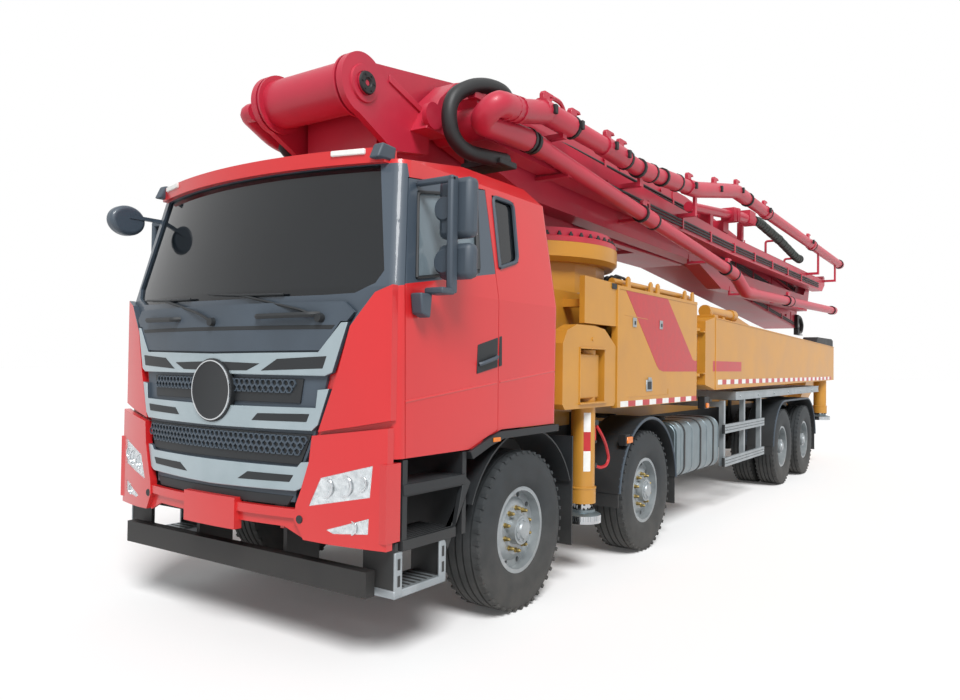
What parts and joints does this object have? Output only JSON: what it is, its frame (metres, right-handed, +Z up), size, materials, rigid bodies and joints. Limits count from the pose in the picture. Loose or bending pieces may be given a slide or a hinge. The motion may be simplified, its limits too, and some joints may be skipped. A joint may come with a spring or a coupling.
{
  "type": "truck-mounted concrete pump",
  "caption": "Four-axle truck with a slewing, folded concrete boom over the cab and deck, sliding front and swinging rear outriggers, and a rear hopper.",
  "frame": {"origin": "on the ground, under the middle of the overall length and width", "axes": "+X to the rear of the truck, +Y to its right side, +Z up"},
  "size_m": [14.3014, 3, 3.9997],
  "materials": {
    "chassis_frame": "satin",
    "axle_beams": "satin",
    "engine_block": "matte",
    "cab_red": "gloss",
    "glass": "gloss",
    "interior": "matte",
    "grille": "satin",
    "lens": "gloss",
    "black_plastic": "matte",
    "aluminium": "satin",
    "ochre": "satin",
    "boom_red": "gloss",
    "tyre": "matte",
    "rim": "satin",
    "steel": "polished",
    "hose": "matte"
  },
  "bodies": {
    "chassis": {"chassis_frame": "chassis_frame", "axle_beams": "axle_beams", "engine_block": "engine_block", "cab_shell": "cab_red", "cab_glass": "glass", "cab_interior": "interior", "grille_panel": "grille", "front_bumper": "cab_red", "headlamps": "lens", "mudguards_and_steps": "black_plastic", "fuel_tanks": "aluminium", "outrigger_frame": "ochre", "walkways_and_guards": "aluminium", "pump_unit": "aluminium", "hopper": "boom_red"},
    "door_left": {"door_left": "cab_red", "door_glass_left": "glass", "mirror_left": "black_plastic"},
    "knuckle_1_left": {"knuckle_1_left": "axle_beams"},
    "wheel_1_left": {"tyre_1_left": "tyre", "rim_1_left": "rim"},
    "knuckle_2_left": {"knuckle_2_left": "axle_beams"},
    "wheel_2_left": {"tyre_2_left": "tyre", "rim_2_left": "rim"},
    "wheel_3_left": {"tyre_3_left": "tyre", "rim_3_left": "rim"},
    "wheel_4_left": {"tyre_4_left": "tyre", "rim_4_left": "rim"},
    "door_right": {"door_right": "cab_red", "door_glass_right": "glass", "mirror_right": "black_plastic"},
    "knuckle_1_right": {"knuckle_1_right": "axle_beams"},
    "wheel_1_right": {"tyre_1_right": "tyre", "rim_1_right": "rim"},
    "knuckle_2_right": {"knuckle_2_right": "axle_beams"},
    "wheel_2_right": {"tyre_2_right": "tyre", "rim_2_right": "rim"},
    "wheel_3_right": {"tyre_3_right": "tyre", "rim_3_right": "rim"},
    "wheel_4_right": {"tyre_4_right": "tyre", "rim_4_right": "rim"},
    "turret": {"turret": "boom_red"},
    "boom_1": {"boom_section_1": "boom_red"},
    "boom_2": {"boom_section_2": "boom_red"},
    "boom_3": {"boom_section_3": "boom_red"},
    "boom_4": {"boom_section_4": "boom_red"},
    "boom_5": {"boom_section_5": "boom_red"},
    "boom_6": {"boom_section_6": "boom_red", "end_hose": "hose"},
    "lift_barrel": {"lift_barrel": "boom_red"},
    "lift_rod": {"lift_rod": "steel"},
    "front_leg_left": {"front_leg_left": "ochre"},
    "front_jack_left": {"front_jack_left": "steel"},
    "rear_leg_left": {"rear_leg_left": "ochre"},
    "rear_jack_left": {"rear_jack_left": "steel"},
    "front_leg_right": {"front_leg_right": "ochre"},
    "front_jack_right": {"front_jack_right": "steel"},
    "rear_leg_right": {"rear_leg_right": "ochre"},
    "rear_jack_right": {"rear_jack_right": "steel"},
    "hopper_grate": {"hopper_grate": "boom_red"}
  },
  "joints": [
    {"name": "door_hinge_left", "type": "hinge", "parent": "chassis", "child": "door_left", "pos_m": [-6.835, -1.25, 1.9], "axis": [0, 0, -1], "range_deg": [0, 70]},
    {"name": "steer_1_left", "type": "hinge", "parent": "chassis", "child": "knuckle_1_left", "pos_m": [-5.53, -0.88, 0.538], "axis": [0, 0, 1], "range_deg": [-38, 38]},
    {"name": "spin_1_left", "type": "hinge", "parent": "knuckle_1_left", "child": "wheel_1_left", "pos_m": [-5.53, -1.065, 0.538], "axis": [0, 1, 0], "continuous": true},
    {"name": "steer_2_left", "type": "hinge", "parent": "chassis", "child": "knuckle_2_left", "pos_m": [-3.38, -0.88, 0.538], "axis": [0, 0, 1], "range_deg": [-30, 30]},
    {"name": "spin_2_left", "type": "hinge", "parent": "knuckle_2_left", "child": "wheel_2_left", "pos_m": [-3.38, -1.065, 0.538], "axis": [0, 1, 0], "continuous": true},
    {"name": "spin_3_left", "type": "hinge", "parent": "chassis", "child": "wheel_3_left", "pos_m": [1.62, -1.065, 0.538], "axis": [0, 1, 0], "continuous": true},
    {"name": "spin_4_left", "type": "hinge", "parent": "chassis", "child": "wheel_4_left", "pos_m": [3, -1.065, 0.538], "axis": [0, 1, 0], "continuous": true},
    {"name": "door_hinge_right", "type": "hinge", "parent": "chassis", "child": "door_right", "pos_m": [-6.835, 1.25, 1.9], "axis": [0, 0, 1], "range_deg": [0, 70]},
    {"name": "steer_1_right", "type": "hinge", "parent": "chassis", "child": "knuckle_1_right", "pos_m": [-5.53, 0.88, 0.538], "axis": [0, 0, 1], "range_deg": [-38, 38]},
    {"name": "spin_1_right", "type": "hinge", "parent": "knuckle_1_right", "child": "wheel_1_right", "pos_m": [-5.53, 1.065, 0.538], "axis": [0, 1, 0], "continuous": true},
    {"name": "steer_2_right", "type": "hinge", "parent": "chassis", "child": "knuckle_2_right", "pos_m": [-3.38, 0.88, 0.538], "axis": [0, 0, 1], "range_deg": [-30, 30]},
    {"name": "spin_2_right", "type": "hinge", "parent": "knuckle_2_right", "child": "wheel_2_right", "pos_m": [-3.38, 1.065, 0.538], "axis": [0, 1, 0], "continuous": true},
    {"name": "spin_3_right", "type": "hinge", "parent": "chassis", "child": "wheel_3_right", "pos_m": [1.62, 1.065, 0.538], "axis": [0, 1, 0], "continuous": true},
    {"name": "spin_4_right", "type": "hinge", "parent": "chassis", "child": "wheel_4_right", "pos_m": [3, 1.065, 0.538], "axis": [0, 1, 0], "continuous": true},
    {"name": "slew", "type": "hinge", "parent": "chassis", "child": "turret", "pos_m": [-3.58, 0, 2.8], "axis": [0, 0, 1], "range_deg": [-180, 180]},
    {"name": "boom_1_raise", "type": "hinge", "parent": "turret", "child": "boom_1", "pos_m": [-3.93, 0, 3.24], "axis": [0, -1, 0], "range_deg": [0, 90]},
    {"name": "boom_2_unfold", "type": "hinge", "parent": "boom_1", "child": "boom_2", "pos_m": [6.72, 0, 2.845], "axis": [0, 1, 0], "range_deg": [0, 180]},
    {"name": "boom_3_unfold", "type": "hinge", "parent": "boom_2", "child": "boom_3", "pos_m": [-6.33, 0, 3.49], "axis": [0, -1, 0], "range_deg": [0, 180]},
    {"name": "boom_4_unfold", "type": "hinge", "parent": "boom_3", "child": "boom_4", "pos_m": [6.27, -0.48, 3.255], "axis": [0, 1, 0], "range_deg": [0, 180]},
    {"name": "boom_5_unfold", "type": "hinge", "parent": "boom_4", "child": "boom_5", "pos_m": [-5.43, -0.705, 3.42], "axis": [0, -1, 0], "range_deg": [0, 180]},
    {"name": "boom_6_unfold", "type": "hinge", "parent": "boom_5", "child": "boom_6", "pos_m": [6.62, -0.48, 3.425], "axis": [0, 1, 0], "range_deg": [0, 180]},
    {"name": "lift_barrel_swing", "type": "hinge", "parent": "turret", "child": "lift_barrel", "pos_m": [-3.68, 0, 2.96], "axis": [0, -1, 0], "range_deg": [0, 90]},
    {"name": "lift_rod_slide", "type": "slide", "parent": "lift_barrel", "child": "lift_rod", "axis": [0.9976, 0, 0.0696], "range_m": [0, 0.5375]},
    {"name": "front_leg_slide_left", "type": "slide", "parent": "chassis", "child": "front_leg_left", "axis": [-0.342, -0.9397, 0], "range_m": [0, 1.3]},
    {"name": "front_jack_slide_left", "type": "slide", "parent": "front_leg_left", "child": "front_jack_left", "axis": [0, 0, -1], "range_m": [0, 0.415]},
    {"name": "rear_leg_swing_left", "type": "hinge", "parent": "chassis", "child": "rear_leg_left", "pos_m": [-2, -1.1, 1.8], "axis": [0, 0, -1], "range_deg": [0, 90]},
    {"name": "rear_jack_slide_left", "type": "slide", "parent": "rear_leg_left", "child": "rear_jack_left", "axis": [0, 0, -1], "range_m": [0, 0.755]},
    {"name": "front_leg_slide_right", "type": "slide", "parent": "chassis", "child": "front_leg_right", "axis": [-0.342, 0.9397, 0], "range_m": [0, 1.3]},
    {"name": "front_jack_slide_right", "type": "slide", "parent": "front_leg_right", "child": "front_jack_right", "axis": [0, 0, -1], "range_m": [0, 0.415]},
    {"name": "rear_leg_swing_right", "type": "hinge", "parent": "chassis", "child": "rear_leg_right", "pos_m": [-2, 1.1, 1.8], "axis": [0, 0, 1], "range_deg": [0, 90]},
    {"name": "rear_jack_slide_right", "type": "slide", "parent": "rear_leg_right", "child": "rear_jack_right", "axis": [0, 0, -1], "range_m": [0, 0.755]},
    {"name": "hopper_grate_hinge", "type": "hinge", "parent": "chassis", "child": "hopper_grate", "pos_m": [5.25, 0, 1.5155], "axis": [0, -1, 0], "range_deg": [0, 85]}
  ],
  "couplings": [
    {"joint": "steer_1_right", "follows": "steer_1_left", "ratio": 1},
    {"joint": "steer_2_left", "follows": "steer_1_left", "ratio": 0.75},
    {"joint": "steer_2_right", "follows": "steer_1_left", "ratio": 0.75},
    {"joint": "boom_2_unfold", "follows": "boom_1_raise", "ratio": 2},
    {"joint": "lift_barrel_swing", "follows": "boom_1_raise", "ratio": 0.98414},
    {"joint": "lift_rod_slide", "follows": "boom_1_raise", "m_per_rad": 0.33579}
  ]
}
